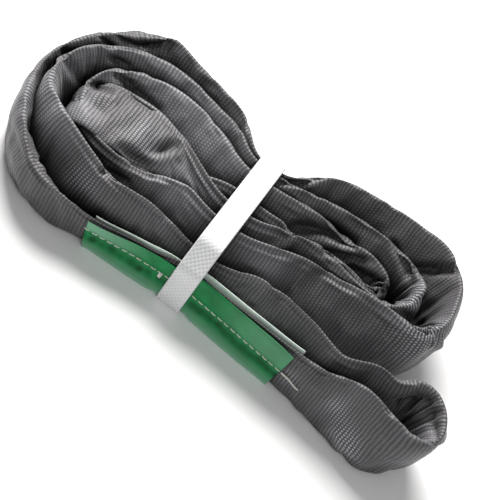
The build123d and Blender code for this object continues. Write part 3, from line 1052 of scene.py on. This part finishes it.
def paint_label(piece):
    """Painted highlight as a pale rim along the fold, painted shade of the puckers under the stitches, and a
    strip that pales to its ends.
    """
    points = vertex_points(piece)
    x, z = points[:, 0], points[:, 2]
    # Painted highlight: the rim along the fold is painted pale.
    rim = (1 - ease(z, 0.5, 4.5)) * 0.55 + (1 - ease(z, 3.5, 11.0)) * 0.45
    left = ease(-x, 14, 54) * 0.72
    right = ease(x, 14, 50) * 0.3
    strip = ease(z, STITCH_HEIGHT - 0.2, STITCH_HEIGHT + 1.2) * (left + right)
    paint(piece, "pale", np.clip(rim + strip, 0, 0.95))
    band = np.exp(-((z - STITCH_HEIGHT + 4.0 + 0.8 * np.sin(x / 5.0)) / 2.4) ** 2)
    slow = np.sin(x * 2 * math.pi / 13.0 + 1.3 * np.sin(x / 7.0))
    blotch = 0.5 + 0.3 * slow + 0.25 * np.sin(x * 2 * math.pi / 5.3 + 2)
    blotch = np.where(x > 8, 0.5 + 0.5 * blotch, blotch)
    paint(piece, "shade", np.clip(band * blotch * 1.35, 0, 1))


def pucker(x, height):
    """Ripple that the stitches pull into the near panel, in mm proud of the cover."""
    below = math.exp(-((height - STITCH_HEIGHT + 4.5) / 4.0) ** 2)
    loose = 0.32 * (1 - math.exp(-((x - 55.5) / 16.0) ** 4))
    ripple = loose * below * math.sin(x * 2 * math.pi / 9.3 + 1.1 * math.sin(x / 7.0))
    return 0.5 + ripple - 0.45 * math.exp(-((height - STITCH_HEIGHT) / 1.1) ** 2)


def lean(share, height):
    """Place along the label at a share of its length, at a height, between its sloping ends."""
    climb = height / LABEL_TOP
    start = FOOT_LEFT + (LABEL_LEFT - FOOT_LEFT) * climb
    end = FOOT_RIGHT + (LABEL_RIGHT - FOOT_RIGHT) * climb
    return start + (end - start) * share


def panel_point(near, share, height, lift=0.0):
    """Point of the near panel, puckered by the stitches."""
    return near.at(lean(share, height), height, pucker(share * 120, height) + lift)


def build_panel(near, far, green):
    """The sewn near panel with its fold, which runs under the pass and lies higher on the strap."""
    heights = np.concatenate([[0.55, 0.75, 1.3], np.linspace(2.2, HINGE_HEIGHT, 24)])

    def panel_row(share):
        foot_x = lean(share, 0.5)
        foot_near, foot_far = near.at(foot_x, 0.6, 0.4), far.at(foot_x, 0.6)
        strapped = 1 - ease(abs(foot_x), 8.5, 15.0)
        under = [foot_far + (foot_near - foot_far) * s for s in np.linspace(0.0, 0.95 - 0.2 * strapped, 8)]
        for point in under:
            point[2] = LABEL_UNDER + STRAP_STEP * strapped
        rows = [panel_point(near, share, height) for height in heights]
        for point in rows:
            low = 1 - ease(point[2], 0.5, 3.5)
            point[1] += 0.8 * strapped * low
            point[2] += STRAP_STEP * strapped * low
        return under + rows

    panel = sheet("label_panel", [panel_row(share) for share in np.linspace(0, 1, 181)], LABEL_SKIN, green)
    paint_label(panel)
    hand_over(panel, "sling", "label_wrap")


def build_leaf(far):
    """The inner leaf, between the first two passes."""
    def leaf_row(share):
        x = -53.0 + share * 121.0
        top = 23.0 + 3.3 * ease(x, -50, -8) + 3.5 * ease(x, -6, 7) + 0.5 * ease(x, 12, 55)
        flare = 0.4 + 0.8 * ease(x, -45, -8) * (1 - 0.4 * ease(x, 12, 40))
        return [far.at(x, h, -0.1 + flare * ease(h, 22, 30)) for h in np.linspace(1.2, top, 16)]

    rows = [leaf_row(share) for share in np.linspace(0, 1, 121)]
    hand_over(sheet("label_inner_leaf", rows, LABEL_SKIN, label_back_material()), "sling")


def build_strips(near, green):
    """The panel above the stitches: a middle strip under the strap that rides on the sling, and a strip on
    either side that replaces a flap's CAD part and is attached to no body.
    """
    def strip_row(share):
        x = lean(share, HINGE_HEIGHT)
        top = (STRIP_TOP_LEFT + (STRIP_TOP_MIDDLE - STRIP_TOP_LEFT) * ease(x, -60, -5)
               + (STRIP_TOP_RIGHT - STRIP_TOP_MIDDLE) * ease(x, -6, 7))
        heights = np.linspace(HINGE_HEIGHT, top, 11)
        return [panel_point(near, share, height, 0.35 * ease(height, 20, 27)) for height in heights]

    def strip(name, start, end, count):
        piece = sheet(name, [strip_row(share) for share in np.linspace(start, end, count)], LABEL_SKIN, green)
        paint_label(piece)
        return piece

    span = LABEL_RIGHT - LABEL_LEFT
    low_share = (-MIDDLE_STRIP_HALF - LABEL_LEFT) / span
    high_share = (MIDDLE_STRIP_HALF - LABEL_LEFT) / span
    hand_over(strip("label_middle_strip", low_share, high_share, 27), "sling")
    for side, start, end, sign in (("left", 0.0, low_share, -1), ("right", high_share, 1.0, 1)):
        piece, body = strip(f"label_strip_{side}", start, end, 71), f"label_flap_{side}"
        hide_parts(body)
        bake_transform(piece)


def build_label(near, far):
    green = label_green_material()
    build_panel(near, far, green)
    build_leaf(far)
    build_strips(near, green)


STITCH_PITCH, STITCH_LENGTH, STITCH_RADIUS = 4.1, 3.2, 0.27
KNOT_X, KNOT_Z, KNOT_TALL, KNOT_RADIUS = -11.3, 14.2, 3.0, 0.33
TAIL_LENGTH, TAIL_PLY = 11.5, 0.2


def build_stitch_row(near, thread):
    """Row of lockstitches: each dips into the vinyl at both ends."""
    pieces = []
    x = LABEL_LEFT + 1.2
    while x + STITCH_LENGTH < LABEL_RIGHT - 0.5:
        centres = [near.at(x + STITCH_LENGTH * s, STITCH_HEIGHT + 0.35 * math.sin(x * 3.1) * (s - 0.5),
                           0.05 + 0.45 * math.sin(math.pi * s)) for s in np.linspace(0, 1, 9)]
        pieces.append(round_tube("stitch", np.array(centres), STITCH_RADIUS, False))
        x += STITCH_PITCH
    hand_over(join("label_stitch_row", pieces), "sling", "label_stitching", thread)


def build_knot(near, thread):
    """Back-tack: five turns of thread, side by side and slightly crossed."""
    turns = []
    for turn in range(5):
        slant = 0.5 * math.sin(turn * 2.1)
        line = [near.at(KNOT_X + 0.28 * (turn - 2) + slant * (s - 0.5), KNOT_Z + KNOT_TALL * (s - 0.5),
                        0.35 + 0.7 * math.sin(math.pi * s) + 0.08 * turn) for s in np.linspace(0, 1, 9)]
        turns.append(round_tube("turn", np.array(line), KNOT_RADIUS, False))
    hand_over(join("stitch_knot", turns), "sling", "stitch_backtack", thread)


def build_loose_end(near, thread):
    """Two plies wound round each other past the label's right end."""
    tail = np.array([near.at(LABEL_RIGHT - 0.2 + TAIL_LENGTH * s, STITCH_HEIGHT + 0.3 * math.sin(5 * s),
                             0.3 + 0.5 * math.sin(3 * s)) for s in np.linspace(0, 1, 24)])
    plies = []
    for phase in (0.0, math.pi):
        turn = np.linspace(0, 9 * math.pi, len(tail)) + phase
        wound = tail + np.stack([0 * turn, np.cos(turn) * TAIL_PLY, np.sin(turn) * TAIL_PLY], 1)
        plies.append(round_tube("ply", wound, np.linspace(0.42, 0.24, len(tail)), False))
    hand_over(join("loose_thread_end", plies), "thread_tail", "thread_tail", thread)


def build_stitches(near):
    thread = thread_material()
    build_stitch_row(near, thread)
    build_knot(near, thread)
    build_loose_end(near, thread)


# ---------------------------------------------------------------------------------------------
# Strap
# ---------------------------------------------------------------------------------------------

STRAP_HALF = 6.75
STRAP_THICK = 0.55
STRAP_EDGE = 0.5                       # width of its rounded edges
STRAP_INSET = 0.3                      # from the CAD strap's outside to this one's middle line
STRAP_LOW = 0.36                       # height of the lower run's middle
STRAP_STEP_LENGTH = 0.38
LAP_ENDS, LAP_MIDDLE, LAP_THICK = (-17.5, 23.5), 0.93, 0.5
EMBOSS_ALONG, EMBOSS_ACROSS, EMBOSS_DEPTH = 2.8, 2.6, 0.14


def strap_outline():
    """Closed outline of the strap's middle line round the waist, as (y, z) points with round corners."""
    low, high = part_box("strap_band")
    near, far, top = low.y / MM + STRAP_INSET, high.y / MM - STRAP_INSET, high.z / MM - STRAP_INSET
    corners = [(near, STRAP_LOW, 2.2), (near, 28.8, 6.0), (-32.0, top, 7.0), (far, top, 3.0),
               (far, STRAP_LOW, 2.2)]
    line = []
    for i, (y, z, radius) in enumerate(corners):
        here = np.array([y, z])
        back = unit(np.array(corners[i - 1][:2]) - here)
        ahead = unit(np.array(corners[(i + 1) % len(corners)][:2]) - here)
        opening = math.acos(float(np.clip(back @ ahead, -1, 1)))
        reach = radius / math.tan(opening / 2)
        middle = here + unit(back + ahead) * radius / math.sin(opening / 2)
        start, end = here + back * reach - middle, here + ahead * reach - middle
        a0, a1 = math.atan2(start[1], start[0]), math.atan2(end[1], end[0])
        sweep = (a1 - a0 + math.pi) % (2 * math.pi) - math.pi
        for s in np.linspace(0, 1, 13):
            line.append(middle + radius * np.array([math.cos(a0 + sweep * s), math.sin(a0 + sweep * s)]))
    return np.array(line)


def strap_path():
    """The outline at even steps, with its outward directions and the places along it."""
    line = strap_outline()
    closed = np.vstack([line, line[:1]])
    steps = np.linalg.norm(np.diff(closed, axis=0), axis=1)
    reach = np.concatenate([[0], np.cumsum(steps)])
    places = np.linspace(0, reach[-1], int(reach[-1] / STRAP_STEP_LENGTH), endpoint=False)
    path = np.stack([np.interp(places, reach, closed[:, k]) for k in range(2)], 1)
    forward = unit(np.roll(path, -1, 0) - np.roll(path, 1, 0))
    outward = np.stack([-forward[:, 1], forward[:, 0]], 1)
    if ((path - path.mean(0)) * outward).sum() < 0:
        outward = -outward
    return path, outward, places


def build_strap():
    path, outward, places = strap_path()
    across = np.linspace(-STRAP_HALF, STRAP_HALF, 41)
    count, cols = len(path), len(across)
    rounded = np.clip((STRAP_HALF - np.abs(across)) / STRAP_EDGE, 0.0, 1.0) ** 0.5
    dimples = (np.cos(2 * math.pi * places[:, None] / EMBOSS_ALONG)
               * np.cos(2 * math.pi * across[None] / EMBOSS_ACROSS))
    emboss = EMBOSS_DEPTH * np.clip(dimples, -0.3, 1) * rounded[None]

    def shell(offset):
        yz = path[:, None] + outward[:, None] * offset[:, :, None]
        return np.concatenate([np.broadcast_to(across[None, :, None], (count, cols, 1)), yz], 2)

    outer = shell(STRAP_THICK / 2 * rounded[None] - emboss)
    inner = shell(np.broadcast_to(-STRAP_THICK / 2 * rounded[None], (count, cols)))
    ring = np.concatenate([outer, inner[:, ::-1][:, 1:-1]], 1)
    band = add_piece("strap", ring, quads(count, ring.shape[1], True, True))
    # Painted shade in the bottoms of the dimples.
    dimple_shade = np.zeros(ring.shape[:2])
    dimple_shade[:, :cols] = np.clip(emboss / EMBOSS_DEPTH, 0, 1)
    paint(band, "dimple_shade", dimple_shade.ravel())
    plastic = strap_material()
    band.data.materials.append(plastic)
    wide = np.linspace(-STRAP_HALF + 0.3, STRAP_HALF - 0.3, 15)
    rows = [[(x, y, LAP_MIDDLE) for x in wide] for y in np.linspace(*LAP_ENDS, 60)]
    lap = sheet("lap", rows, LAP_THICK, plastic)
    paint(lap, "dimple_shade", np.zeros(len(lap.data.vertices)))
    hand_over(join("strap", [band, lap]), "strap", "strap_band")


# ---------------------------------------------------------------------------------------------
# Studio
# ---------------------------------------------------------------------------------------------

FLOOR_REACH = 3000.0


def build_stage():
    near, far = -FLOOR_REACH, FLOOR_REACH
    corners = [(near, near, 0), (far, near, 0), (far, far, 0), (near, far, 0)]
    floor = add_piece("floor", corners, [(0, 1, 2, 3)])
    nodes = Nodes("floor_paper")
    nodes.set("Base Color", nodes.mix(nodes.noise(300.0, 2.0), (0.93, 0.93, 0.935), (0.95, 0.95, 0.95)))
    nodes.set("Roughness", 0.9)
    nodes.set("Specular IOR Level", 0.1)
    floor.data.materials.append(nodes.material)


def add_light(name, place, size, power, colour=(1, 1, 1)):
    """Round soft light that points at the origin."""
    data = bpy.data.lights.new(name, "AREA")
    data.shape = "DISK"
    data.size = size
    data.energy = power
    data.color = colour
    light = bpy.data.objects.new(name, data)
    light.location = place
    light.rotation_euler = (-Vector(place)).to_track_quat("-Z", "Y").to_euler()
    bpy.context.scene.collection.objects.link(light)


def build_lights():
    world = bpy.data.worlds.new("studio")
    bpy.context.scene.world = world
    world.use_nodes = True
    sky = world.node_tree.nodes["Background"].inputs
    sky["Color"].default_value = (1.0, 1.0, 1.0, 1.0)
    sky["Strength"].default_value = 0.22
    add_light("key", (-0.48, 0.75, 0.92), 0.85, 32.0, (1.0, 0.985, 0.97))
    add_light("fill", (0.3, -0.9, 0.8), 0.8, 4.0)


VIEW_TILT = 45.0
VIEW_ROLL = 36.7
VIEW_WIDTH = 250.0
VIEW_DISTANCE = 1.25
SENSOR_WIDTH = 36.0
AIM = (16.75, 0.0, 21.0)


def build_camera():
    data = bpy.data.cameras.new("camera")
    camera = bpy.data.objects.new("camera", data)
    bpy.context.scene.collection.objects.link(camera)
    tilt, roll = math.radians(VIEW_TILT), math.radians(VIEW_ROLL)
    forward = Vector((0, math.cos(tilt), -math.sin(tilt)))
    right = Vector((1, 0, 0))
    up = right.cross(forward)
    rolled_right = right * math.cos(roll) + up * math.sin(roll)
    rolled_up = up * math.cos(roll) - right * math.sin(roll)
    turn = Matrix((rolled_right, rolled_up, -forward)).transposed().to_4x4()
    place = Vector(AIM) * MM - forward * VIEW_DISTANCE
    camera.matrix_world = Matrix.Translation(place) @ turn
    data.sensor_width = SENSOR_WIDTH
    data.lens = SENSOR_WIDTH * VIEW_DISTANCE / (VIEW_WIDTH * MM)
    bpy.context.scene.camera = camera
    bpy.context.scene.view_settings.view_transform = "Standard"


cover_grid = sleeve_grid(course)
cover_grid = soften_floor(crumple(cover_grid, freedom_of(course)), course)
near_face, far_face = Face(cover_grid, False), Face(cover_grid, True)
build_cover(cover_grid)
build_core(cover_grid)
build_inside_pieces()
build_label(near_face, far_face)
build_stitches(near_face)
build_strap()
build_stage()
build_lights()
build_camera()
